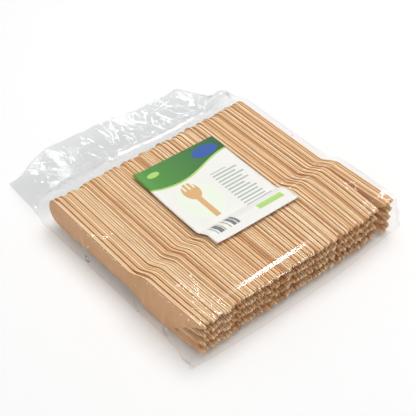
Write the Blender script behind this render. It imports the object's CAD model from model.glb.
"""Pack of wooden forks: a row of flat birch forks in a clear film bag with a printed paper label.

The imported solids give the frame. Lengths are in metres in that frame, and the sizes that the
operators work from are in the frame of the row: x along the row, tines to -y, floor at z = 0.
"""

import functools
import math

import bmesh
import bpy
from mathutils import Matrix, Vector, noise


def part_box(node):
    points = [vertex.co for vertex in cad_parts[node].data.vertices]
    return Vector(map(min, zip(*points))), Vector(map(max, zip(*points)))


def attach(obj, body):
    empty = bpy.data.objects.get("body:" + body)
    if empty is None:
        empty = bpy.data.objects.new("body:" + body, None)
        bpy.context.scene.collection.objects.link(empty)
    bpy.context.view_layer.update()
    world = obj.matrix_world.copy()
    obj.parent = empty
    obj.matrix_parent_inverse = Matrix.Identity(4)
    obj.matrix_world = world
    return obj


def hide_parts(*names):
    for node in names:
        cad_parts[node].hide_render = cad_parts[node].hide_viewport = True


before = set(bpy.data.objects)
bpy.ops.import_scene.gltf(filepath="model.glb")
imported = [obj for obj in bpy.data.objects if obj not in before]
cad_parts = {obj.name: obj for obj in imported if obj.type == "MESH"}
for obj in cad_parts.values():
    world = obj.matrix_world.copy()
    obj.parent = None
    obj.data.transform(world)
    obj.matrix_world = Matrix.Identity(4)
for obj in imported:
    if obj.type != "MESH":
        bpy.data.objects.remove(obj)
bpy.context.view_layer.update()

bl_info = {
    "name": "Wooden fork pack",
    "version": (1, 0, 0),
    "blender": (4, 5, 0),
    "location": "View3D > Sidebar > Fork pack",
    "description": "Builds a film bag of wooden forks around its packed solids",
    "category": "Add Mesh",
}

MM = 0.001
BODY = "root"
FORK_NODES = sorted(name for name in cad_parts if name.startswith("fork_pair_"))
BAG_LOW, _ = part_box("film_bag")

# The row's own frame: its middle lies this far from the bag's left wall and from the bag's front edge
ROW_FROM_LEFT_WALL = 92.0 * MM
ROW_FROM_FRONT_EDGE = 86.3 * MM
ROW = Vector((BAG_LOW.x + ROW_FROM_LEFT_WALL, BAG_LOW.y + ROW_FROM_FRONT_EDGE, BAG_LOW.z))

# Air hole in the left wall: middle in the row's frame, radius and half width of its rim, in mm
VENT_PLACE = Vector((-80.0, 30.0, 8.0))
VENT_RADIUS, VENT_RIM = 2.2, 0.5

# The photograph is square, and its camera was fitted to the forks' edges in the row's frame
PHOTO_PIXELS = 416
FOCAL_PIXELS = 1005.0
VIEW_AZIMUTH = math.radians(-40.63)
VIEW_ELEVATION = math.radians(43.2)
VIEW_DISTANCE = 0.708
VIEW_TARGET = Vector((-1.25, 10.6, 13.4)) * MM


def linear(hex_colour):
    """Linear RGBA of an sRGB hex colour."""
    channels = [int(hex_colour[i : i + 2], 16) / 255 for i in (1, 3, 5)]
    return [c / 12.92 if c <= 0.04045 else ((c + 0.055) / 1.055) ** 2.4 for c in channels] + [1.0]


def add_node(tree, kind, *places, inputs=None, **settings):
    """Add a node with its settings, and set or link its inputs by place or by name.

    A node that is given as an input stands for its first output.
    """
    node = tree.nodes.new(kind)
    for name, value in settings.items():
        setattr(node, name, value)
    for key, value in {**dict(enumerate(places)), **(inputs or {})}.items():
        if isinstance(value, bpy.types.Node):
            value = value.outputs[0]
        if isinstance(value, bpy.types.NodeSocket):
            tree.links.new(value, node.inputs[key])
        else:
            node.inputs[key].default_value = value
    return node


def new_material(name):
    """Empty material, and the function that adds a node to it."""
    material = bpy.data.materials.new(name)
    material.use_nodes = True
    material.node_tree.nodes.clear()
    return material, functools.partial(add_node, material.node_tree)


def background_seen(add):
    """1 for rays that look straight at the background, by the camera, in a gloss or through glass."""
    path = add("ShaderNodeLightPath").outputs
    mirrored = add(
        "ShaderNodeMath", path["Is Glossy Ray"], path["Is Transmission Ray"], operation="MAXIMUM"
    )
    return add("ShaderNodeMath", path["Is Camera Ray"], mirrored, operation="MAXIMUM")


def smooth(low, high, value):
    """0 below `low`, 1 above `high`, eased between."""
    t = min(1.0, max(0.0, (value - low) / (high - low)))
    return t * t * (3 - 2 * t)


def mix(a, b, share):
    """From a to b by share."""
    return a + (b - a) * share


def bump(distance, width):
    """1 at no distance, falling away softly over that width."""
    return math.exp(-((distance / width) ** 2))


def add_piece(name, mesh, material, slot, *nodes):
    """Put a finished mesh in the scene in place of its CAD nodes."""
    piece = bpy.data.objects.new(name, mesh)
    bpy.context.scene.collection.objects.link(piece)
    mesh.materials.clear()
    mesh.materials.append(material)
    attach(piece, BODY)
    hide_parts(*nodes)
    return piece


# Birch, die-cut from veneer and sanded: warm pale edges with fine streaks along the grain, no two
# forks quite the same tone, and dull enough that only broad soft light shows on it.
def birch_material(settings):
    material, add = new_material("sanded_birch_veneer")
    place = add("ShaderNodeTexCoord").outputs["Object"]
    streak_width, streak_length = 0.7 * MM, 30 * MM
    grain = add(
        "ShaderNodeMapping",
        inputs={"Vector": place, "Scale": (1 / streak_width, 1 / streak_length, 1 / streak_width)},
    )
    streaks = add(
        "ShaderNodeTexNoise", inputs={"Vector": grain, "Scale": 1.0, "Detail": 3.0, "Roughness": 0.6}
    )
    broad_width, broad_length = 5 * MM, 60 * MM
    figure = add(
        "ShaderNodeMapping",
        inputs={"Vector": place, "Scale": (1 / broad_width, 1 / broad_length, 1 / broad_width)},
    )
    clouds = add("ShaderNodeTexNoise", inputs={"Vector": figure, "Scale": 1.0, "Detail": 2.0})
    tone, seam, facing_pair = (
        add("ShaderNodeAttribute", attribute_name=name).outputs["Fac"]
        for name in ("tone", "seam", "pair_side")
    )
    light, middle, dark = settings.light_wood, settings.wood, settings.dark_wood
    plain = add("ShaderNodeMix", inputs={0: tone, 6: light, 7: middle}, data_type="RGBA").outputs[2]
    stained = add("ShaderNodeMapRange", tone, 0.72, 0.95, 0.0, 0.38)
    by_fork = add("ShaderNodeMix", inputs={0: stained, 6: plain, 7: dark}, data_type="RGBA").outputs[2]
    streak_share = add("ShaderNodeMapRange", streaks, 0.5, 0.85, 0.0, 0.6)
    streaked = add(
        "ShaderNodeMix", inputs={0: streak_share, 6: by_fork, 7: dark}, data_type="RGBA"
    ).outputs[2]
    cloud_share = add("ShaderNodeMapRange", clouds, 0.5, 0.8, 0.0, 0.35)
    colour = add(
        "ShaderNodeMix", inputs={0: cloud_share, 6: streaked, 7: middle}, data_type="RGBA"
    ).outputs[2]
    normal = add("ShaderNodeNewGeometry").outputs["True Normal"]
    turned = add("ShaderNodeSeparateXYZ", normal)
    sideways = add("ShaderNodeMath", turned, operation="ABSOLUTE")
    bevel_from, face_from = 0.35, 0.97
    on_bevel = add("ShaderNodeMath", sideways, bevel_from, operation="GREATER_THAN")
    on_face = add("ShaderNodeMath", sideways, face_from, operation="GREATER_THAN")
    between_pairs = add(
        "ShaderNodeMath",
        add("ShaderNodeMath", turned, facing_pair, operation="MULTIPLY"),
        0.0,
        operation="LESS_THAN",
    )
    seam_dark, least_dark = 0.7, 0.25
    darkening = add(
        "ShaderNodeMath",
        add("ShaderNodeMath", between_pairs, seam_dark, operation="MULTIPLY"),
        seam,
        least_dark,
        operation="MULTIPLY_ADD",
    )
    bevelled = add(
        "ShaderNodeMix",
        inputs={0: add("ShaderNodeMath", on_bevel, darkening, operation="MULTIPLY"), 6: colour, 7: dark},
        data_type="RGBA",
    ).outputs[2]
    colour = add(
        "ShaderNodeMix", inputs={0: on_face, 6: bevelled, 7: settings.face_wood}, data_type="RGBA"
    ).outputs[2]
    relief = add("ShaderNodeBump", inputs={"Strength": 0.25, "Distance": 0.1 * MM, "Height": streaks})
    shader = add(
        "ShaderNodeBsdfPrincipled",
        inputs={
            "Base Color": colour,
            "Roughness": 0.62,
            "IOR": 1.5,
            "Specular IOR Level": 0.2,
            "Normal": relief,
        },
    )
    add("ShaderNodeOutputMaterial", inputs={"Surface": shader})
    return material


# Clear cast polypropylene film: nearly invisible face on, greyer where it is seen edge on, with hard
# white glints on its creases. Thin film doesn't bend light, so it is clear with a gloss over it.
def film_material(settings):
    material, add = new_material("clear_polypropylene_film")
    place = add("ShaderNodeTexCoord").outputs["Object"]
    slack, gloss_share = (
        add("ShaderNodeAttribute", attribute_name=name).outputs["Fac"]
        for name in ("slack", "gloss")
    )
    warp_size, warp_reach = 14 * MM, 7 * MM
    warp = add("ShaderNodeTexNoise", inputs={"Vector": place, "Scale": 1 / warp_size}).outputs["Color"]
    bent = add(
        "ShaderNodeVectorMath",
        warp,
        (warp_reach, warp_reach, warp_reach),
        place,
        operation="MULTIPLY_ADD",
    )
    height = 0.0
    drawn_out, crease_width = 0.45, 0.16
    for size, weight in ((17 * MM, 1.0), (7 * MM, 0.35)):
        drawn = add(
            "ShaderNodeMapping", inputs={"Vector": bent, "Scale": (1 / size, drawn_out / size, 1 / size)}
        )
        edge = add(
            "ShaderNodeTexVoronoi", inputs={"Vector": drawn, "Scale": 1.0}, feature="DISTANCE_TO_EDGE"
        ).outputs["Distance"]
        height = add(
            "ShaderNodeMath",
            height,
            add("ShaderNodeMapRange", edge, 0.0, crease_width, weight, 0.0),
            operation="ADD",
        )
    wave_size, wave_weight = 9 * MM, 0.25
    waves = add("ShaderNodeTexNoise", inputs={"Vector": place, "Scale": 1 / wave_size, "Detail": 2.0})
    height = add(
        "ShaderNodeMath",
        add("ShaderNodeMath", waves, wave_weight, height, operation="MULTIPLY_ADD"),
        slack,
        operation="MULTIPLY",
    )
    relief = add(
        "ShaderNodeBump", inputs={"Strength": 1.0, "Distance": settings.film_crinkle, "Height": height}
    )
    # The rolled rim of the air hole shows as a grey ring in the left wall
    from_vent = add("ShaderNodeVectorMath", place, tuple(ROW + VENT_PLACE * MM), operation="SUBTRACT")
    across_wall, along_wall, up_wall = add("ShaderNodeSeparateXYZ", from_vent).outputs
    in_wall = add("ShaderNodeCombineXYZ", inputs={1: along_wall, 2: up_wall})
    reach = add("ShaderNodeVectorMath", in_wall, operation="LENGTH").outputs["Value"]
    on_ring = add("ShaderNodeMath", reach, VENT_RADIUS * MM, VENT_RIM * MM, operation="COMPARE")
    ring = add(
        "ShaderNodeMath",
        on_ring,
        add("ShaderNodeMath", across_wall, 0.0, operation="LESS_THAN"),
        operation="MULTIPLY",
    )
    facing = add("ShaderNodeLayerWeight", inputs={"Blend": 0.5, "Normal": relief}).outputs["Facing"]
    face_on, edge_on, steepness = settings.film_gloss, 0.75, 5.0
    steep = add("ShaderNodeMath", facing, steepness, operation="POWER")
    share = add("ShaderNodeMath", steep, edge_on - face_on, face_on, operation="MULTIPLY_ADD")
    # Light falls through the film undimmed, so that the wood and the floor keep their own tone
    lit = add(
        "ShaderNodeMath", 1.0, add("ShaderNodeLightPath").outputs["Is Shadow Ray"], operation="SUBTRACT"
    )
    share = add(
        "ShaderNodeMath",
        add("ShaderNodeMath", share, gloss_share, operation="MULTIPLY"),
        lit,
        operation="MULTIPLY",
    )
    tint = settings.film_tint
    for part, above in ((slack, settings.slack_tint), (ring, settings.vent_tint)):
        tint = add("ShaderNodeMix", inputs={0: part, 6: tint, 7: above}, data_type="RGBA").outputs[2]
    tint = add("ShaderNodeMix", inputs={0: lit, 6: (1, 1, 1, 1), 7: tint}, data_type="RGBA").outputs[2]
    clear = add("ShaderNodeBsdfTransparent", inputs={"Color": tint})
    gloss = add(
        "ShaderNodeBsdfGlossy", inputs={"Color": (1, 1, 1, 1), "Roughness": 0.1, "Normal": relief}
    )
    shader = add("ShaderNodeMixShader", share, clear, gloss)
    add("ShaderNodeOutputMaterial", inputs={"Surface": shader})
    return material


# White coated paper with an offset print: flat fields of ink under a weak sheen.
def label_material(settings):
    material, add = new_material("printed_coated_paper")
    uv = add("ShaderNodeUVMap", uv_map="print")
    across, along = add("ShaderNodeSeparateXYZ", uv).outputs[:2]
    u = add("ShaderNodeMath", across, settings.label_width / MM, operation="MULTIPLY")
    v = add("ShaderNodeMath", along, settings.label_length / MM, operation="MULTIPLY")

    def between(value, low, high):
        above = add("ShaderNodeMath", value, low, operation="GREATER_THAN")
        return add(
            "ShaderNodeMath",
            above,
            add("ShaderNodeMath", value, high, operation="LESS_THAN"),
            operation="MULTIPLY",
        )

    def field(left, right, bottom, top):
        return add(
            "ShaderNodeMath", between(u, left, right), between(v, bottom, top), operation="MULTIPLY"
        )

    def disc(centre_u, centre_v, radius_u, radius_v):
        du = add(
            "ShaderNodeMath",
            add("ShaderNodeMath", u, centre_u, operation="SUBTRACT"),
            radius_u,
            operation="DIVIDE",
        )
        dv = add(
            "ShaderNodeMath",
            add("ShaderNodeMath", v, centre_v, operation="SUBTRACT"),
            radius_v,
            operation="DIVIDE",
        )
        squared = add(
            "ShaderNodeMath",
            du,
            du,
            add("ShaderNodeMath", dv, dv, operation="MULTIPLY"),
            operation="MULTIPLY_ADD",
        )
        return add("ShaderNodeMath", squared, 1.0, operation="LESS_THAN")

    def bars(value, pitch, share):
        along_pitch = add(
            "ShaderNodeMath", add("ShaderNodeMath", value, pitch, operation="DIVIDE"), operation="FRACT"
        )
        return add("ShaderNodeMath", along_pitch, share, operation="LESS_THAN")

    def both(a, b):
        return add("ShaderNodeMath", a, b, operation="MULTIPLY")

    # Sizes and places of the print, in mm from the label's lower left corner
    header_height, header_swing, header_period, rim_width = 74.0, 5.0, 96, 1.6
    line_pitch, line_share, line_least, line_scatter = 3.4, 0.42, 58.0, 9.0
    bar_width, bar_share = 0.7, 0.42
    wave = add(
        "ShaderNodeMath",
        add("ShaderNodeMath", u, math.tau / header_period, operation="MULTIPLY"),
        operation="SINE",
    )
    hill = add(
        "ShaderNodeMath",
        header_height,
        add("ShaderNodeMath", wave, header_swing, operation="MULTIPLY"),
        operation="SUBTRACT",
    )
    header = add("ShaderNodeMath", v, hill, operation="GREATER_THAN")
    rim = add(
        "ShaderNodeMath",
        v,
        add("ShaderNodeMath", hill, rim_width, operation="SUBTRACT"),
        operation="GREATER_THAN",
    )
    fade = add("ShaderNodeMapRange", across, 0.0, 1.0, 1.0, 0.0)
    greens = add(
        "ShaderNodeMix",
        inputs={0: fade, 6: settings.dark_green, 7: settings.light_green},
        data_type="RGBA",
    ).outputs[2]
    line_number = add(
        "ShaderNodeMath", add("ShaderNodeMath", v, line_pitch, operation="DIVIDE"), operation="FLOOR"
    )
    random_end = add("ShaderNodeTexWhiteNoise", inputs={"W": line_number}, noise_dimensions="1D")
    line_end = add("ShaderNodeMath", random_end, line_scatter, line_least, operation="MULTIPLY_ADD")
    printed = both(bars(v, line_pitch, line_share), field(44, 72, 20, 62))
    lines = both(printed, add("ShaderNodeMath", u, line_end, operation="LESS_THAN"))
    bar_number = add(
        "ShaderNodeMath", add("ShaderNodeMath", u, bar_width, operation="DIVIDE"), operation="FLOOR"
    )
    bar_ink = add("ShaderNodeTexWhiteNoise", inputs={"W": bar_number}, noise_dimensions="1D")
    code = both(field(7, 26, 7, 19), add("ShaderNodeMath", bar_ink, bar_share, operation="GREATER_THAN"))
    handle = field(21.0, 25.4, 26, 52)
    head = disc(23.2, 56.5, 6.4, 9.0)
    slots = both(
        both(bars(add("ShaderNodeMath", u, 2.1, operation="ADD"), 3.6, 0.36), field(17, 30, 58.5, 70)),
        head,
    )
    colour = settings.paper
    for mask, ink in (
        (rim, settings.pale_green),
        (header, greens),
        (disc(57.0, 84.5, 11.0, 5.6), settings.blue),
        (disc(12.0, 86.0, 5.0, 2.6), settings.pale_green),
        (disc(23.2, 45.0, 16.0, 19.0), settings.pale_field),
        (handle, settings.light_wood),
        (head, settings.light_wood),
        (slots, settings.pale_field),
        (lines, settings.text_grey),
        (code, settings.code_grey),
        (field(44, 66, 8, 13), settings.pale_green),
    ):
        colour = add("ShaderNodeMix", inputs={0: mask, 6: colour, 7: ink}, data_type="RGBA").outputs[2]
    shader = add(
        "ShaderNodeBsdfPrincipled",
        inputs={"Base Color": colour, "Roughness": 0.42, "IOR": 1.45, "Specular IOR Level": 0.3},
    )
    add("ShaderNodeOutputMaterial", inputs={"Surface": shader})
    return material


# Matt white sweep paper: bright enough to read as white, it takes the pack's shadow, and well away
# from the pack the camera sees it as plain white.
def floor_material(settings):
    material, add = new_material("matt_white_sweep")
    place = add("ShaderNodeTexCoord").outputs["Object"]
    mottle = add("ShaderNodeTexNoise", inputs={"Vector": place, "Scale": 4.0})
    colour = add(
        "ShaderNodeMix",
        inputs={0: mottle, 6: settings.floor_colour, 7: linear("#ffffff")},
        data_type="RGBA",
    ).outputs[2]
    paper = add("ShaderNodeBsdfDiffuse", inputs={"Color": colour})
    white = add("ShaderNodeEmission")
    reach = add("ShaderNodeVectorMath", place, operation="LENGTH").outputs["Value"]
    shadow_reach, white_from = 0.3, 0.8
    far = add("ShaderNodeMapRange", reach, shadow_reach, white_from, interpolation_type="SMOOTHSTEP")
    share = add("ShaderNodeMath", far, background_seen(add), operation="MULTIPLY")
    shader = add("ShaderNodeMixShader", share, paper, white)
    add("ShaderNodeOutputMaterial", inputs={"Surface": shader})
    return material


class ForkPackForkSettings(bpy.types.PropertyGroup):
    """Sizes and tones of the forks."""

    count: bpy.props.IntProperty(name="Forks", description="Forks in the row", default=100)
    length: bpy.props.FloatProperty(
        name="Length", description="Fork from tip to handle end", default=160 * MM, unit="LENGTH"
    )
    thickness: bpy.props.FloatProperty(
        name="Thickness", description="Veneer thickness", default=1.53 * MM, unit="LENGTH"
    )
    pitch: bpy.props.FloatProperty(
        name="Pitch", description="From one fork to the next", default=1.75 * MM, unit="LENGTH"
    )
    pair_gap: bpy.props.FloatProperty(
        name="Pair gap",
        description="Forks lie in twos, this far from the next two",
        default=0.3 * MM,
        unit="LENGTH",
    )
    handle_width: bpy.props.FloatProperty(
        name="Handle width", description="Width near the round end", default=21 * MM, unit="LENGTH"
    )
    handle_round: bpy.props.FloatProperty(
        name="Handle round", description="Length of the round end", default=9 * MM, unit="LENGTH"
    )
    neck_width: bpy.props.FloatProperty(
        name="Neck width", description="Width at the waist", default=16 * MM, unit="LENGTH"
    )
    neck_from_tip: bpy.props.FloatProperty(
        name="Neck place", description="From the tips to the waist", default=66 * MM, unit="LENGTH"
    )
    head_width: bpy.props.FloatProperty(
        name="Head width", description="Widest part of the head", default=31 * MM, unit="LENGTH"
    )
    head_from_tip: bpy.props.FloatProperty(
        name="Head place", description="From the tips to the widest part", default=49 * MM, unit="LENGTH"
    )
    tine_span: bpy.props.FloatProperty(
        name="Tine span", description="Across the tine tips", default=26.6 * MM, unit="LENGTH"
    )
    tine_length: bpy.props.FloatProperty(
        name="Tine length", description="From the tips to the slots' roots", default=27 * MM, unit="LENGTH"
    )
    tine_count: bpy.props.IntProperty(name="Tines", description="Tines of a fork", default=4)
    slot_width: bpy.props.FloatProperty(
        name="Slot width", description="Width of a slot at its root", default=2.6 * MM, unit="LENGTH"
    )
    tip_width: bpy.props.FloatProperty(
        name="Tip width", description="Width of a tine at its tip", default=2.6 * MM, unit="LENGTH"
    )
    axis_height: bpy.props.FloatProperty(
        name="Axis height",
        description="Middle of the forks above the floor",
        default=16.7 * MM,
        unit="LENGTH",
    )
    ragged_height: bpy.props.FloatProperty(
        name="Ragged height",
        description="Most that a fork stands up or down",
        default=0.5 * MM,
        unit="LENGTH",
    )
    ragged_length: bpy.props.FloatProperty(
        name="Ragged length",
        description="Most that a fork lies to and fro",
        default=1.4 * MM,
        unit="LENGTH",
    )
    tip_lean: bpy.props.FloatProperty(
        name="Tip lean", description="How far the tips stand to the right", default=3 * MM, unit="LENGTH"
    )
    tip_crowding: bpy.props.FloatProperty(
        name="Tip crowding",
        description="How far the tips close up along the row",
        default=5 * MM,
        unit="LENGTH",
    )
    splayed: bpy.props.IntProperty(
        name="Splayed forks", description="Forks at the right that stand apart", default=6
    )
    light_wood: bpy.props.FloatVectorProperty(
        name="Light wood", description="Palest veneer", subtype="COLOR", size=4, default=linear("#ffe4bc")
    )
    wood: bpy.props.FloatVectorProperty(
        name="Wood", description="Common veneer", subtype="COLOR", size=4, default=linear("#e9b272")
    )
    dark_wood: bpy.props.FloatVectorProperty(
        name="Dark wood", description="Grain streaks", subtype="COLOR", size=4, default=linear("#84491f")
    )
    face_wood: bpy.props.FloatVectorProperty(
        name="Face wood", description="Flat faces", subtype="COLOR", size=4, default=linear("#dba878")
    )


class ForkPackFilmSettings(bpy.types.PropertyGroup):
    """Shape and tint of the film bag."""

    left_wall: bpy.props.FloatProperty(
        name="Left wall", description="Row's middle to the left wall", default=92 * MM, unit="LENGTH"
    )
    right_wall: bpy.props.FloatProperty(
        name="Right wall", description="Row's middle to the right wall", default=96 * MM, unit="LENGTH"
    )
    flap_slant: bpy.props.FloatProperty(
        name="Flap slant", description="How far the cut end is out of square", default=0.056
    )
    flap_droop: bpy.props.FloatProperty(
        name="Flap droop", description="How far the flap's ends hang", default=7.5 * MM, unit="LENGTH"
    )
    film_tint: bpy.props.FloatVectorProperty(
        name="Film tint",
        description="What one layer lets through",
        subtype="COLOR",
        size=4,
        default=linear("#fefefe"),
    )
    slack_tint: bpy.props.FloatVectorProperty(
        name="Slack tint",
        description="What a layer of crumpled film lets through",
        subtype="COLOR",
        size=4,
        default=linear("#f0f1f1"),
    )
    vent_tint: bpy.props.FloatVectorProperty(
        name="Vent tint",
        description="Rim of the air hole",
        subtype="COLOR",
        size=4,
        default=linear("#b8b8ba"),
    )
    film_gloss: bpy.props.FloatProperty(
        name="Gloss", description="Share of light thrown back face on", default=0.026, subtype="FACTOR"
    )
    film_crinkle: bpy.props.FloatProperty(
        name="Crinkle",
        description="Height of the fine creases in slack film",
        default=0.1 * MM,
        unit="LENGTH",
    )


class ForkPackLabelSettings(bpy.types.PropertyGroup):
    """Size and inks of the label."""

    label_width: bpy.props.FloatProperty(
        name="Width", description="Label along the row", default=72 * MM, unit="LENGTH"
    )
    label_length: bpy.props.FloatProperty(
        name="Length", description="Label along the forks", default=94 * MM, unit="LENGTH"
    )
    from_tips: bpy.props.FloatProperty(
        name="From tips", description="Lower edge from the fork tips", default=42.5 * MM, unit="LENGTH"
    )
    sideways: bpy.props.FloatProperty(
        name="Sideways", description="Label's middle from the row's middle", default=3.6 * MM, unit="LENGTH"
    )
    thickness: bpy.props.FloatProperty(
        name="Thickness", description="Paper thickness", default=0.2 * MM, unit="LENGTH"
    )
    turn: bpy.props.FloatProperty(
        name="Turn", description="How far the label sits askew", default=math.radians(1.6), subtype="ANGLE"
    )
    paper: bpy.props.FloatVectorProperty(
        name="Paper", description="Bare paper", subtype="COLOR", size=4, default=linear("#eceae4")
    )
    dark_green: bpy.props.FloatVectorProperty(
        name="Dark green", description="Header, left", subtype="COLOR", size=4, default=linear("#14532a")
    )
    light_green: bpy.props.FloatVectorProperty(
        name="Light green",
        description="Header, right",
        subtype="COLOR",
        size=4,
        default=linear("#4a8f2f"),
    )
    pale_green: bpy.props.FloatVectorProperty(
        name="Pale green", description="Rim and marks", subtype="COLOR", size=4, default=linear("#a8cf6a")
    )
    pale_field: bpy.props.FloatVectorProperty(
        name="Pale field",
        description="Disc behind the fork",
        subtype="COLOR",
        size=4,
        default=linear("#e9efdf"),
    )
    light_wood: bpy.props.FloatVectorProperty(
        name="Fork tan", description="Fork silhouette", subtype="COLOR", size=4, default=linear("#d9aa72")
    )
    blue: bpy.props.FloatVectorProperty(
        name="Blue", description="Blue field", subtype="COLOR", size=4, default=linear("#1d4f9e")
    )
    text_grey: bpy.props.FloatVectorProperty(
        name="Line grey", description="Rows of lines", subtype="COLOR", size=4, default=linear("#a9b5ab")
    )
    code_grey: bpy.props.FloatVectorProperty(
        name="Bar grey", description="Block of bars", subtype="COLOR", size=4, default=linear("#6f7378")
    )


class ForkPackStageSettings(bpy.types.PropertyGroup):
    """Floor and light."""

    floor_colour: bpy.props.FloatVectorProperty(
        name="Floor", description="Sweep paper", subtype="COLOR", size=4, default=linear("#fdfdfd")
    )
    key_power: bpy.props.FloatProperty(
        name="Key power", description="Broad lamp above", default=10.2, unit="POWER"
    )
    fill_power: bpy.props.FloatProperty(
        name="Fill power", description="Broad lamp at the left", default=2.6, unit="POWER"
    )
    glint_power: bpy.props.FloatProperty(
        name="Glint power",
        description="Lamps that show only on the film's creases",
        default=10.5,
        unit="POWER",
    )
    sky: bpy.props.FloatProperty(name="Sky", description="Even light from all round", default=0.42)


# One fork, flat in the plane of y and z, with its face towards -x
def fork_edge(settings):
    """Edge points of a fork as (y, z), from the handle's end over the top to the tips and back below."""
    tip, end = -settings.length / 2, settings.length / 2
    neck, widest = tip + settings.neck_from_tip, tip + settings.head_from_tip
    root = tip + settings.tine_length
    round_start = end - settings.handle_round
    half_handle, half_neck, half_head = (
        w / 2 for w in (settings.handle_width, settings.neck_width, settings.head_width)
    )
    top = []
    turns = 8
    for k in range(turns + 1):
        angle = math.pi / 2 * k / turns
        top.append((round_start + settings.handle_round * math.cos(angle), half_handle * math.sin(angle)))
    for share in (0.35, 0.7, 0.9):
        top.append((mix(round_start, neck, share), mix(half_handle, half_neck, share)))
    shoulder_start = neck + 3 * MM
    steps = 10
    for k in range(steps + 1):
        y = mix(shoulder_start, widest, k / steps)
        top.append((y, mix(half_neck, half_head, smooth(0, 1, k / steps))))
    tip_radius = settings.tip_width / 2
    half_span = settings.tine_span / 2
    for k in range(1, 5):
        share = k / 5
        y = mix(widest, tip + tip_radius, share)
        top.append((y, mix(half_head, half_span, share**1.4)))
    tines = []
    count = settings.tine_count
    pitch = (settings.tine_span - settings.tip_width) / (count - 1)
    root_radius = settings.slot_width / 2
    for tine in range(count):
        centre = half_span - tip_radius - tine * pitch
        if tine > 0:
            slot = centre + pitch / 2
            for k in range(7):
                angle = math.pi / 2 - math.pi * k / 6
                y = root - root_radius + root_radius * math.cos(angle)
                tines.append((y, slot + root_radius * math.sin(angle)))
        for k in range(7):
            angle = math.pi / 2 + math.pi * k / 6
            y = tip + tip_radius + tip_radius * math.cos(angle)
            tines.append((y, centre + tip_radius * math.sin(angle)))
    below = [(y, -z) for y, z in reversed(top[1:])]
    return top + tines + below


def inset_edge(points, distance):
    """The edge moved into the fork by `distance`; the points run round it anticlockwise seen from -x."""
    moved = []
    for k, (y, z) in enumerate(points):
        before, after = points[k - 1], points[(k + 1) % len(points)]
        along = Vector((after[0] - before[0], after[1] - before[1])).normalized()
        moved.append((y - along.y * distance, z + along.x * distance))
    return moved


def fork_mesh(settings):
    """One fork with softened edges, its face on x = 0."""
    outline = fork_edge(settings)
    softness = 0.24 * MM
    inner = inset_edge(outline, softness)
    depth = settings.thickness
    layers = [(0.0, inner), (softness, outline), (depth - softness, outline), (depth, inner)]
    mesh = bmesh.new()
    rows = [[mesh.verts.new((x, y, z)) for y, z in edge] for x, edge in layers]
    count = len(outline)
    for low, high in zip(rows, rows[1:]):
        for k in range(count):
            mesh.faces.new((low[k], low[(k + 1) % count], high[(k + 1) % count], high[k]))
    caps = [mesh.faces.new(rows[0]), mesh.faces.new(list(reversed(rows[-1])))]
    bmesh.ops.triangulate(mesh, faces=caps)
    bmesh.ops.recalc_face_normals(mesh, faces=mesh.faces)
    result = bpy.data.meshes.new("fork")
    mesh.to_mesh(result)
    mesh.free()
    return result


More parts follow.
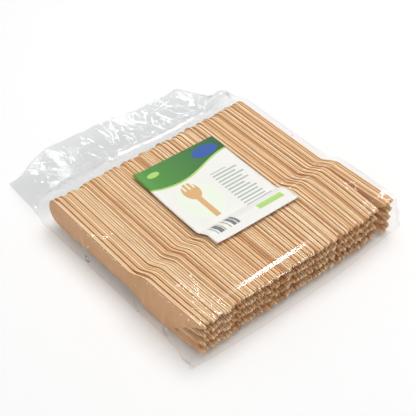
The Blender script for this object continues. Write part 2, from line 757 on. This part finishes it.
def fork_row_tree():
    """Geometry Nodes tree that sets out the row: each fork shifted a little, its head set sideways."""
    tree = bpy.data.node_groups.new("Fork row", "GeometryNodeTree")
    add = functools.partial(add_node, tree)
    tree.interface.new_socket("Geometry", in_out="OUTPUT", socket_type="NodeSocketGeometry")
    for name, kind in (
        ("Fork", "NodeSocketObject"),
        ("Count", "NodeSocketInt"),
        ("Splayed", "NodeSocketInt"),
        ("Pitch", "NodeSocketFloat"),
        ("Pair gap", "NodeSocketFloat"),
        ("Height", "NodeSocketFloat"),
        ("Ragged height", "NodeSocketFloat"),
        ("Ragged length", "NodeSocketFloat"),
        ("Tip lean", "NodeSocketFloat"),
        ("Tip crowding", "NodeSocketFloat"),
        ("Neck", "NodeSocketFloat"),
        ("Neck to tip", "NodeSocketFloat"),
        ("Wood", "NodeSocketMaterial"),
    ):
        tree.interface.new_socket(name, in_out="INPUT", socket_type=kind)
    given = add("NodeGroupInput").outputs
    index = add("GeometryNodeInputIndex")

    def scatter(salt):
        """The same repeatable scatter, from -1 to 1, that the solids use."""
        stride, gain = 12.9898, 437.585
        turn = add(
            "ShaderNodeMath",
            add("ShaderNodeMath", index, 1.0, operation="ADD"),
            stride,
            salt,
            operation="MULTIPLY_ADD",
        )
        part = add(
            "ShaderNodeMath",
            add(
                "ShaderNodeMath",
                add("ShaderNodeMath", turn, operation="SINE"),
                gain,
                operation="MULTIPLY",
            ),
            operation="FRACT",
        )
        return add("ShaderNodeMath", part, 2.0, -1.0, operation="MULTIPLY_ADD")

    row_length = add("ShaderNodeMath", given["Count"], given["Pitch"], operation="MULTIPLY")
    half_row = add("ShaderNodeMath", row_length, -0.5, operation="MULTIPLY")
    start = add("ShaderNodeCombineXYZ", inputs={0: half_row, 2: given["Height"]})
    step = add("ShaderNodeCombineXYZ", given["Pitch"])
    line = add(
        "GeometryNodeMeshLine",
        inputs={"Count": given["Count"], "Start Location": start, "Offset": step},
        mode="OFFSET",
    )
    to_and_fro = add("ShaderNodeMath", scatter(1.0), given["Ragged length"], operation="MULTIPLY")
    up_and_down = add("ShaderNodeMath", scatter(2.0), given["Ragged height"], operation="MULTIPLY")
    second = add("ShaderNodeMath", index, 2.0, operation="MODULO")
    half_gap = add("ShaderNodeMath", given["Pair gap"], 0.5, operation="MULTIPLY")
    into_pair = add(
        "ShaderNodeMath",
        add("ShaderNodeMath", 1.0, second, operation="SUBTRACT"),
        half_gap,
        operation="MULTIPLY",
    )
    shift = add("ShaderNodeCombineXYZ", into_pair, to_and_fro, up_and_down)
    ragged = add("GeometryNodeSetPosition", inputs={"Geometry": line, "Offset": shift})
    crowded = add("ShaderNodeMath", given["Count"], given["Splayed"], operation="SUBTRACT")
    share = add("ShaderNodeMath", index, crowded, operation="DIVIDE")
    closing = add(
        "ShaderNodeMath",
        add("ShaderNodeMath", share, 1.0, operation="LESS_THAN"),
        share,
        operation="MULTIPLY",
    )
    lean = add(
        "ShaderNodeMath",
        given["Tip lean"],
        add("ShaderNodeMath", given["Tip crowding"], closing, operation="MULTIPLY"),
        operation="SUBTRACT",
    )
    tone = add("ShaderNodeMath", scatter(3.0), 0.5, 0.5, operation="MULTIPLY_ADD")
    seam = add("ShaderNodeMath", scatter(4.0), 0.4, 0.75, operation="MULTIPLY_ADD")
    pair_side = add("ShaderNodeMath", second, -2.0, 1.0, operation="MULTIPLY_ADD")
    marked = ragged
    for name, value in (("lean", lean), ("tone", tone), ("seam", seam), ("pair_side", pair_side)):
        marked = add(
            "GeometryNodeStoreNamedAttribute",
            inputs={"Geometry": marked, "Name": name, "Value": value},
            data_type="FLOAT",
            domain="POINT",
        )
    fork = add("GeometryNodeObjectInfo", inputs={"Object": given["Fork"]}).outputs["Geometry"]
    forks = add("GeometryNodeInstanceOnPoints", inputs={"Points": marked, "Instance": fork})
    solid = add("GeometryNodeRealizeInstances", inputs={"Geometry": forks})
    place = add("GeometryNodeInputPosition")
    y = add("ShaderNodeSeparateXYZ", place).outputs[1]
    from_neck = add("ShaderNodeMath", given["Neck"], y, operation="SUBTRACT")
    past_neck = add("ShaderNodeMath", from_neck, given["Neck to tip"], operation="DIVIDE")
    bend = add(
        "ShaderNodeMath",
        add("ShaderNodeMath", past_neck, 0.0, operation="MAXIMUM"),
        2.0,
        operation="POWER",
    )
    own_lean = add("GeometryNodeInputNamedAttribute", inputs={"Name": "lean"}, data_type="FLOAT")
    sideways = add("ShaderNodeMath", bend, own_lean, operation="MULTIPLY")
    offset = add("ShaderNodeCombineXYZ", sideways)
    bent = add("GeometryNodeSetPosition", inputs={"Geometry": solid, "Offset": offset})
    finished = add("GeometryNodeSetMaterial", inputs={"Geometry": bent, "Material": given["Wood"]})
    add("NodeGroupOutput", finished)
    return tree


class FORKPACK_OT_forks(bpy.types.Operator):
    """Set out the row of forks in place of the fork pairs"""

    bl_idname = "fork_pack.forks"
    bl_label = "Row of forks"

    def execute(self, context):
        settings = context.scene.fork_pack_forks
        wood = birch_material(settings)
        blank = bpy.data.objects.new("fork_blank", fork_mesh(settings))
        row = bpy.data.objects.new("fork_row_maker", bpy.data.meshes.new("fork_row_maker"))
        for helper in (blank, row):
            context.scene.collection.objects.link(helper)
        tree = fork_row_tree()
        maker = row.modifiers.new("Fork row", "NODES")
        maker.node_group = tree
        values = {
            "Fork": blank,
            "Count": settings.count,
            "Splayed": settings.splayed,
            "Pitch": settings.pitch,
            "Pair gap": settings.pair_gap,
            "Height": settings.axis_height,
            "Ragged height": settings.ragged_height,
            "Ragged length": settings.ragged_length,
            "Tip lean": settings.tip_lean,
            "Tip crowding": settings.tip_crowding,
            "Neck": settings.neck_from_tip - settings.length / 2,
            "Neck to tip": settings.neck_from_tip,
            "Wood": wood,
        }
        for socket in tree.interface.items_tree:
            if socket.in_out == "INPUT":
                maker[socket.identifier] = values[socket.name]
        context.view_layer.update()
        evaluated = row.evaluated_get(context.evaluated_depsgraph_get())
        mesh = bpy.data.meshes.new_from_object(evaluated)
        for helper in (blank, row):
            bpy.data.objects.remove(helper)
        if not mesh.polygons:
            raise RuntimeError("the fork row has no faces")
        for vertex in mesh.vertices:
            vertex.co += ROW
        mesh.shade_smooth()
        mesh.set_sharp_from_angle(angle=math.radians(50))
        add_piece("fork_row", mesh, wood, "birch", *FORK_NODES)
        return {"FINISHED"}


# The bag's sections along the forks, in the row's frame, in millimetres: place, top, underside, and
# how far the section has closed into the flat flap (0 in the body, 1 in the flap)
BAG_SECTIONS = (
    (-86.3, 1.0, 0.0, 0.0),
    (-84.8, 14.0, 0.0, 0.0),
    (-83.2, 28.4, 0.0, 0.0),
    (-82.4, 30.3, 0.0, 0.0),
    (-79.0, 31.4, 0.0, 0.0),
    (-55.0, 32.8, 0.0, 0.0),
    (-30.0, 33.4, 0.0, 0.0),
    (-21.5, 30.8, 0.0, 0.0),
    (-12.0, 26.9, 0.0, 0.0),
    (20.0, 27.0, 0.0, 0.0),
    (70.0, 28.4, 0.0, 0.0),
    (77.8, 26.3, 0.0, 0.0),
    (82.1, 23.8, 0.0, 0.0),
    (94.0, 16.2, 4.4, 0.35),
    (105.0, 10.3, 9.7, 1.0),
    (122.0, 10.3, 9.7, 1.0),
    (139.0, 10.3, 9.7, 1.0),
)
GATHER_Y = 105.0
FLAP_LENGTH = 34.0
FLAP_INSET = 4.0
FLAP_WAVE, FLAP_WAVE_X, FLAP_WAVE_Y = 2.2, 38.0, 90.0
GATHER_DROOP = 0.4
GATHER_FOLD_Y, GATHER_FOLD_WIDTH = 99.0, 13.0
DROOP_PULL = 8.0
EAR_RISE, EAR_Y, EAR_NEAR, EAR_FAR = 11.0, 106.0, 16.0, 11.0

# Walls: where they meet the row's top, how far they belly, the height share at which they start to
# lean in, and how far the mesh crowds to the foot, where two hem folds run
ROW_LEFT, ROW_RIGHT = -88.3, 91.2
WALL_BELLY = 1.2
WALL_LEAN_START = 0.45
FOOT_CROWDING = 1.4
HEM_LINES, HEM_RISE, HEM_SLOPE = (1.8, 5.2), 0.9, 0.7
TWIST_CREASES = ((8.0, 6.0), (5.0, 3.2))

# Where tight film shows little gloss: the edge over the tips, and the steps at the necks and the ends
MOST_DULL, FRONT_DULL = 0.88, 0.7
FRONT_EDGE_Y, FRONT_EDGE_WIDTH, FRONT_EDGE_X = -82.0, 4.0, (-68.0, -58.0)
DULL_STEPS = ((-20.0, 13.0), (75.0, 6.0))

# Stretches over which a form of the film grows, from none to all of it: along the bag in y, along
# the row in x, and up in z
FRONT_TURN_Y = (-79.5, -82.0)
DRAWN_IN_Y, DRAWN_IN_LEFT_X, DRAWN_IN_RIGHT_X = (-78.0, -86.0), (-30, -90), (20, 92)
DRAWN_IN_LEFT, DRAWN_IN_RIGHT, DRAWN_IN_TOP = 2.4, 3.0, 0.6
LIFT, LIFT_X, LIFT_Y, LIFT_HEIGHT = 2.6, (40, 96), (-66, -84), 24
TWIST_X, TWIST_Y, TWIST_Z = (-80, -90), (-64, -80), (7, 18)
LOOSE_Y = (83.0, 97.0)
EAR_X = (70.0, 90.0)
FOOT_Z = (0.5, 2.0)
FRONT_SLACK, WALL_SLACK, TWIST_SLACK = 0.1, 0.4, 0.3


def along_sections(place):
    """Section values at a place counted in sections, eased so that the film has no hard steps."""
    last = len(BAG_SECTIONS) - 2
    k = min(int(place), last)
    t = place - k
    rows = [BAG_SECTIONS[min(max(j, 0), last + 1)] for j in (k - 1, k, k + 1, k + 2)]
    values = []
    for before, start, end, after in zip(*rows):
        slope_in = (end - before) / 2 if (end - start) * (start - before) > 0 else 0.0
        slope_out = (after - start) / 2 if (end - start) * (after - end) > 0 else 0.0
        h = t * t * (3 - 2 * t)
        values.append(mix(start, end, h) + slope_in * t * (1 - t) ** 2 - slope_out * t * t * (1 - t))
    return values


def section_places(spacing):
    """Places about `spacing` mm apart, measured over the top of the film."""
    places = []
    for k, (a, b) in enumerate(zip(BAG_SECTIONS, BAG_SECTIONS[1:])):
        steps = max(2, round(math.hypot(b[0] - a[0], b[1] - a[1]) / spacing))
        places += [k + j / steps for j in range(steps)]
    return places + [len(BAG_SECTIONS) - 1]


def film_top(y):
    """Height of the film over the row at y, both in mm."""
    low, high = 0.0, len(BAG_SECTIONS) - 1.0
    for _ in range(30):
        middle = (low + high) / 2
        low, high = (middle, high) if along_sections(middle)[0] < y else (low, middle)
    return along_sections(low)[1]


def spread(k, salt):
    """Repeatable share from 0 to 1; each salt gives a series of its own."""
    wave = math.sin((k + 1) * 12.9898 + salt) * 437.585
    return wave - math.floor(wave)


def fold_lines(count, salt, field, lean, half_lengths, heights, widths):
    """Straight folds scattered over a field of film, in mm."""
    left, right, near, far = field
    lines = []
    for k in range(count):
        angle = lean * (2 * spread(k, salt + 2) - 1)
        lines.append(
            (
                mix(left, right, spread(k, salt)),
                mix(near, far, spread(k, salt + 1)),
                math.sin(angle),
                math.cos(angle),
                mix(*half_lengths, spread(k, salt + 3)),
                mix(*heights, spread(k, salt + 4)),
                mix(*widths, spread(k, salt + 5)),
            )
        )
    return lines


def fold_height(x, y, lines, sharp=False):
    """Height of the folds at a point: soft or sharp along each line, and fading towards its ends."""
    total = 0.0
    for start_x, start_y, dx, dy, half_length, height, width in lines:
        off = abs((x - start_x) * dy - (y - start_y) * dx)
        if off < width:
            along = ((x - start_x) * dx + (y - start_y) * dy) / half_length
            if abs(along) < 1:
                profile = 1 - off / width if sharp else (1 - (off / width) ** 2) ** 2
                total += height * profile * (1 - along * along)
    return total


def crease(a, b, height, width):
    """One fold from point a to point b."""
    dx, dy = b[0] - a[0], b[1] - a[1]
    length = math.hypot(dx, dy)
    return ((a[0] + b[0]) / 2, (a[1] + b[1]) / 2, dx / length, dy / length, 0.62 * length, height, width)


# Folds by part of the bag; the top is tight, so it has few, and each stands clear of the wood
TOP_FOLDS = [
    crease((-84, -77), (-66, -69.5), 0.8, 4.0),
    crease((-132, -69.5), (98, -69.5), 0.62, 4.0),
    crease((-84, -79), (-70, -66), 0.8, 2.4),
    crease((-79, -80), (-65, -69), 0.8, 2.4),
    crease((-85, -70), (-76, -80), 0.8, 2.4),
    crease((-79, -67), (-70, -79), 0.8, 2.4),
    crease((-71, -66), (-63, -76), 0.8, 2.4),
    crease((-77, -49), (-63, -47), 1.3, 4.5),
    crease((-75, -62), (-64, -48), 1.1, 3.4),
    crease((-76, -50), (-74, -63), 1.0, 3.0),
    crease((-86, 28), (-76, 20), 1.0, 3.4),
    crease((88, 20), (89, -16), 1.0, 2.6),
    crease((70, -51), (80, -50), 1.0, 3.6),
    crease((69, -53), (72, -78), 1.0, 3.0),
    crease((79, -52), (82, -72), 0.9, 2.6),
]
FLAP_FOLDS = fold_lines(46, 3.0, (-88, 92, 102, 139), 0.7, (10, 28), (0.2, 0.7), (1.3, 3.0))
FLAP_FOLDS += fold_lines(16, 7.0, (-88, 92, 104, 139), 1.0, (12, 26), (0.4, 1.5), (5.0, 10.0))
GATHER_FOLDS = fold_lines(110, 11.0, (-92, 95, 84, 112), 1.5, (4, 13), (0.2, 1.8), (1.8, 4.5))
WALL_FOLDS = [
    crease((20, 25), (31, 13), 2.0, 3.0),
    crease((-27, 26), (-15, 17), 1.8, 2.8),
    crease((-22, 27), (-25, 10), 1.6, 2.6),
    crease((-53, 22), (-60, 5), 2.0, 2.8),
] + fold_lines(46, 31.0, (-86, 84, 0, 30), 1.1, (4, 12), (0.3, 1.9), (2.0, 4.5))
FRONT_FOLDS = fold_lines(40, 41.0, (-90, 94, 0, 30), 0.9, (4, 12), (0.2, 0.8), (1.8, 3.4))
SAG_X, SAG_Y, SAG_HALF_WIDTH, SAG_HALF_LENGTH, SAG_DEPTH = 76.5, -65.0, 4.5, 12.5, 1.2


def droop_share(x):
    """Share of the flap's droop at x: none along its middle, all of it at both ends."""
    return max(smooth(-48.0, -88.0, x), smooth(73.0, 92.0, x))


def wall_outline(share, out, inner):
    """Place of a wall at a share of its height: a soft belly that leans in to the row's top edge."""
    belly = WALL_BELLY * math.sin(math.pi * min(1.0, share / 0.8) ** 0.7)
    return mix(out - math.copysign(WALL_BELLY - belly, out), inner, smooth(WALL_LEAN_START, 1.0, share))


def plain_ring(flap_share, settings, under_steps, top_steps, wall):
    """Part, place along the row and share of the height of each point of a ring, before any fold.

    It runs under the forks from left to right, up the right wall, back over the top and down the left.
    """
    narrow = FLAP_INSET * flap_share
    left, right = narrow - settings.left_wall / MM, settings.right_wall / MM - narrow
    row_left, row_right = ROW_LEFT + narrow, ROW_RIGHT - narrow
    foot_left, foot_right = left + WALL_BELLY, right - WALL_BELLY
    shares = [((k + 1) / (wall + 1)) ** FOOT_CROWDING for k in range(wall)]
    feet = [mix(foot_left, foot_right, k / under_steps) for k in range(under_steps + 1)]
    ring = [("under", x, 0.0) for x in feet]
    ring += [("right", wall_outline(share, right, row_right), share) for share in shares]
    ring += [("top", mix(row_right, row_left, k / top_steps), 1.0) for k in range(top_steps + 1)]
    ring += [("left", wall_outline(share, left, row_left), share) for share in reversed(shares)]
    return ring


def bag_ring(place, settings, under_steps, top_steps, wall):
    """One ring of the bag: points in mm, each with the film's slackness and its share of gloss."""
    y, top, under, flat = along_sections(place)
    flap_share = min(1.0, max(0.0, (y - GATHER_Y) / FLAP_LENGTH))
    in_front = smooth(*FRONT_TURN_Y, y)
    drawn_share = smooth(*DRAWN_IN_Y, y)
    loose = smooth(*LOOSE_Y, y)
    droop = flat * mix(GATHER_DROOP, 1.0, flap_share)
    points = []
    for part, x, share in plain_ring(flap_share, settings, under_steps, top_steps, wall):
        z = mix(under, top, share)
        # The flap is cut askew, its ends hang, and the corner at the right back stands up
        fall = droop * droop_share(x)
        ear = EAR_RISE * bump(y - EAR_Y, EAR_NEAR if y < EAR_Y else EAR_FAR) * smooth(*EAR_X, x)
        moved = Vector((x, y - droop * settings.flap_slant * x - DROOP_PULL * fall * droop, z))
        moved.z += ear * max(flat, share) - settings.flap_droop / MM * fall
        moved.z += FLAP_WAVE * flat * noise.noise(Vector((x / FLAP_WAVE_X, y / FLAP_WAVE_Y, 2.0)))
        slack = loose
        if part == "top":
            gathered = bump(y - GATHER_FOLD_Y, GATHER_FOLD_WIDTH)
            moved.z += gathered * fold_height(x, y, GATHER_FOLDS, True)
            moved.z += flat * fold_height(x, y, FLAP_FOLDS, True)
            moved.z += (1 - loose) * (1 - in_front) * top_relief(x, y)
            moved.y -= in_front * fold_height(x, z, FRONT_FOLDS)
            on_foot = 1 - smooth(*FOOT_Z, z)
            slack = max(loose, in_front * max(FRONT_SLACK, on_foot))
        elif part in ("left", "right"):
            fold = fold_height(y, z, WALL_FOLDS, True) * min(1.0, 5 * share * (1 - share))
            hem = sum(max(0.0, HEM_RISE - HEM_SLOPE * abs(z - line)) for line in HEM_LINES)
            moved.x += math.copysign(1.0, x) * (1 - flat) * (fold + hem)
            slack = max(loose, WALL_SLACK)
        # The film is drawn in at both ends of the front, and hangs clear of the floor at the right
        drawn_in = DRAWN_IN_LEFT * smooth(*DRAWN_IN_LEFT_X, x)
        drawn_in += DRAWN_IN_RIGHT * smooth(*DRAWN_IN_RIGHT_X, x)
        moved.y += drawn_share * drawn_in * (1 - DRAWN_IN_TOP * share * (1 - in_front))
        moved.z += LIFT * smooth(*LIFT_X, x) * smooth(*LIFT_Y, y) * (1 - min(1.0, z / LIFT_HEIGHT))
        # A twist of spare film stands out at the front left corner
        twist = smooth(*TWIST_X, x) * smooth(*TWIST_Y, y) * (1 - smooth(*TWIST_Z, z))
        if twist > 0:
            spot = Vector((x, y, z))
            crumple = sum(rise * abs(noise.noise(spot / size)) for rise, size in TWIST_CREASES)
            moved += twist * (Vector((-1.0, 0.0, 1.0)) + crumple * Vector((-1.0, -0.4, 0.9)))
            slack = max(slack, TWIST_SLACK * twist)
        # Tight film over an edge or a step shows little gloss
        front_edge = bump(y - FRONT_EDGE_Y, FRONT_EDGE_WIDTH) * smooth(*FRONT_EDGE_X, x)
        dull = share * max(front_edge, *(bump(y - step, width) for step, width in DULL_STEPS))
        on_floor = 1 - flat if part == "under" else 0.0
        gloss = 1 - MOST_DULL * max(dull, on_floor, FRONT_DULL * in_front * (1 - twist))
        moved.z = max(moved.z, 0.0)
        points.append((moved, slack, gloss))
    return points


def top_relief(x, y):
    """How far the film over the forks stands off its plain form; it sags only where forks stand apart."""
    sag = ((x - SAG_X) / SAG_HALF_WIDTH) ** 2 + ((y - SAG_Y) / SAG_HALF_LENGTH) ** 2
    return fold_height(x, y, TOP_FOLDS) - SAG_DEPTH * math.exp(-sag * sag)


def film_mesh(settings):
    """The bag's closed skin, with the slackness and the gloss of the film as attributes."""
    under_steps, wall = 48, 30
    span = 5
    top_steps = span * under_steps
    rings = [bag_ring(place, settings, under_steps, top_steps, wall) for place in section_places(1.0)]
    count = len(rings[0])
    points = [ROW + point[0] * MM for ring in rings for point in ring]
    faces = []
    for k in range(len(rings) - 1):
        for j in range(count):
            here, beside = k * count + j, k * count + (j + 1) % count
            faces.append((here, beside, beside + count, here + count))
    top_end = under_steps + wall + top_steps + 1
    for base, order in ((0, -1), ((len(rings) - 1) * count, 1)):
        ends = [
            (j, j + 1, *range(top_end - span * (j + 1), top_end - span * j + 1)) for j in range(under_steps)
        ]
        ends.append(tuple(range(under_steps, under_steps + wall + 2)))
        ends.append((*range(top_end, count), 0))
        faces += [tuple(base + j for j in end)[::order] for end in ends]
    mesh = bpy.data.meshes.new("film_bag")
    mesh.from_pydata(points, [], faces)
    for k, name in ((1, "slack"), (2, "gloss")):
        values = [point[k] for ring in rings for point in ring]
        mesh.attributes.new(name, "FLOAT", "POINT").data.foreach_set("value", values)
    mesh.shade_smooth()
    return mesh


class FORKPACK_OT_film(bpy.types.Operator):
    """Wrap the forks in the clear film bag"""

    bl_idname = "fork_pack.film"
    bl_label = "Film bag"

    def execute(self, context):
        settings = context.scene.fork_pack_film
        add_piece("clear_film", film_mesh(settings), film_material(settings), "film", "film_bag")
        return {"FINISHED"}


def label_mesh(settings):
    """The label: a thin sheet that follows the film, its left side standing a little off it."""
    across, along = 36, 60
    lower = -80.0 + settings.from_tips / MM
    length, width = settings.label_length / MM, settings.label_width / MM
    middle = Vector((settings.sideways / MM, lower + length / 2))
    cosine, sine = math.cos(-settings.turn), math.sin(-settings.turn)
    mesh = bmesh.new()
    uv = mesh.loops.layers.uv.new("print")
    grid = []
    for j in range(along + 1):
        row = []
        for i in range(across + 1):
            u, v = i / across, j / along
            dx, dy = (u - 0.5) * width, (v - 0.5) * length
            x, y = middle.x + dx * cosine - dy * sine, middle.y + dx * sine + dy * cosine
            curl = 0.9 * (1 - smooth(0.0, 0.12, u)) + 0.6 * (1 - smooth(0, 0.06, v))
            z = film_top(y) + 0.55 + curl
            row.append((mesh.verts.new(ROW + Vector((x, y, z)) * MM), (u, v)))
        grid.append(row)
    for low, high in zip(grid, grid[1:]):
        for k in range(across):
            corners = (low[k], low[k + 1], high[k + 1], high[k])
            face = mesh.faces.new([vertex for vertex, _ in corners])
            for loop, (_, place) in zip(face.loops, corners):
                loop[uv].uv = place
    result = bpy.data.meshes.new("label")
    mesh.to_mesh(result)
    mesh.free()
    return result


class FORKPACK_OT_label(bpy.types.Operator):
    """Lay the printed label on the film"""

    bl_idname = "fork_pack.label"
    bl_label = "Label"

    def execute(self, context):
        settings = context.scene.fork_pack_label
        mesh = label_mesh(settings)
        mesh.shade_smooth()
        piece = add_piece("paper_label", mesh, label_material(settings), "label_paper", "label")
        paper = piece.modifiers.new("Paper", "SOLIDIFY")
        paper.thickness = settings.thickness
        paper.offset = 1.0
        return {"FINISHED"}


class FORKPACK_OT_stage(bpy.types.Operator):
    """Lay the white floor, hang the lamps and set the camera as in the photograph"""

    bl_idname = "fork_pack.stage"
    bl_label = "Stage"

    def execute(self, context):
        settings = context.scene.fork_pack_stage
        scene = context.scene
        scene.view_settings.view_transform = "Standard"
        self.lay_floor(scene, settings)
        self.hang_lamps(scene, settings)
        self.set_camera(scene)
        return {"FINISHED"}

    def lay_floor(self, scene, settings):
        half = 3.0
        below = 0.2 * MM
        mesh = bpy.data.meshes.new("floor")
        corners = [(x * half, y * half, -below) for x, y in ((-1, -1), (1, -1), (1, 1), (-1, 1))]
        mesh.from_pydata(corners, [], [(0, 1, 2, 3)])
        mesh.materials.append(floor_material(settings))
        floor = bpy.data.objects.new("floor", mesh)
        scene.collection.objects.link(floor)

    def hang_lamps(self, scene, settings):
        world = bpy.data.worlds.new("studio")
        scene.world = world
        world.use_nodes = True
        world.node_tree.nodes.clear()
        add = functools.partial(add_node, world.node_tree)
        strength = add(
            "ShaderNodeMath",
            background_seen(add),
            1.0 - settings.sky,
            settings.sky,
            operation="MULTIPLY_ADD",
        )
        back = add("ShaderNodeBackground", inputs={"Color": (1, 1, 1, 1), "Strength": strength})
        add("ShaderNodeOutputWorld", inputs={"Surface": back})
        soft, glint = "soft", "glint"
        for name, kind, place, width, depth, power in (
            ("key", soft, (0.35, 0.1, 1.2), 0.9, 0.9, settings.key_power),
            ("fill", soft, (-1.0, -0.6, 0.8), 0.9, 0.9, settings.fill_power),
            ("front_glint", glint, (0.6, -0.03, 1.12), 0.4, 0.13, 0.65 * settings.glint_power),
            ("flap_glint_left", glint, (0.23, 0.9, 0.89), 0.16, 0.3, 0.18 * settings.glint_power),
            ("flap_glint_right", glint, (0.75, 0.9, 0.53), 0.16, 0.3, 0.18 * settings.glint_power),
            ("droop_glint", glint, (-0.2, 0.92, 0.9), 0.2, 0.3, 0.22 * settings.glint_power),
            ("side_glint", glint, (-1.0, 0.6, 0.35), 0.3, 0.25, 0.27 * settings.glint_power),
            ("net_glint_right", glint, (0.79, 0.165, 0.83), 0.16, 0.16, 0.2 * settings.glint_power),
            ("net_glint_top", glint, (0.0, 0.08, 1.22), 0.16, 0.16, 0.2 * settings.glint_power),
            ("corner_glint", glint, (-0.9, -0.8, 0.45), 0.6, 0.4, 0.8 * settings.glint_power),
        ):
            lamp = bpy.data.lights.new(name, "AREA")
            lamp.shape = "RECTANGLE"
            lamp.size, lamp.size_y = width, depth
            lamp.energy = power
            holder = bpy.data.objects.new(name, lamp)
            holder.location = place
            holder.visible_glossy = kind == glint
            holder.visible_diffuse = kind == soft
            holder.rotation_euler = (-Vector(place)).to_track_quat("-Z", "Y").to_euler()
            scene.collection.objects.link(holder)

    def set_camera(self, scene):
        lens = bpy.data.cameras.new("photograph")
        lens.sensor_width = 36.0
        lens.lens = FOCAL_PIXELS / PHOTO_PIXELS * lens.sensor_width
        camera = bpy.data.objects.new("photograph", lens)
        back = Vector(
            (
                math.sin(VIEW_AZIMUTH) * math.cos(VIEW_ELEVATION),
                -math.cos(VIEW_AZIMUTH) * math.cos(VIEW_ELEVATION),
                math.sin(VIEW_ELEVATION),
            )
        )
        camera.location = ROW + VIEW_TARGET + back * VIEW_DISTANCE
        camera.rotation_euler = (-back).to_track_quat("-Z", "Y").to_euler()
        scene.collection.objects.link(camera)
        scene.camera = camera


class FORKPACK_PT_sidebar(bpy.types.Panel):
    """Steps of the fork pack, in order"""

    bl_idname = "FORKPACK_PT_sidebar"
    bl_label = "Fork pack"
    bl_space_type = "VIEW_3D"
    bl_region_type = "UI"
    bl_category = "Fork pack"

    def draw(self, context):
        for step in STEPS:
            self.layout.operator(step.bl_idname)


STEPS = (FORKPACK_OT_stage, FORKPACK_OT_forks, FORKPACK_OT_film, FORKPACK_OT_label)
SETTINGS = {
    "fork_pack_forks": ForkPackForkSettings,
    "fork_pack_film": ForkPackFilmSettings,
    "fork_pack_label": ForkPackLabelSettings,
    "fork_pack_stage": ForkPackStageSettings,
}


def register():
    for group in (*SETTINGS.values(), *STEPS, FORKPACK_PT_sidebar):
        bpy.utils.register_class(group)
    for name, group in SETTINGS.items():
        setattr(bpy.types.Scene, name, bpy.props.PointerProperty(type=group))


def unregister():
    for name in SETTINGS:
        delattr(bpy.types.Scene, name)
    for group in (FORKPACK_PT_sidebar, *reversed(STEPS), *reversed(SETTINGS.values())):
        bpy.utils.unregister_class(group)


def main():
    register()
    bpy.ops.fork_pack.stage()
    bpy.ops.fork_pack.forks()
    bpy.ops.fork_pack.film()
    bpy.ops.fork_pack.label()


if __name__ == "__main__":
    main()
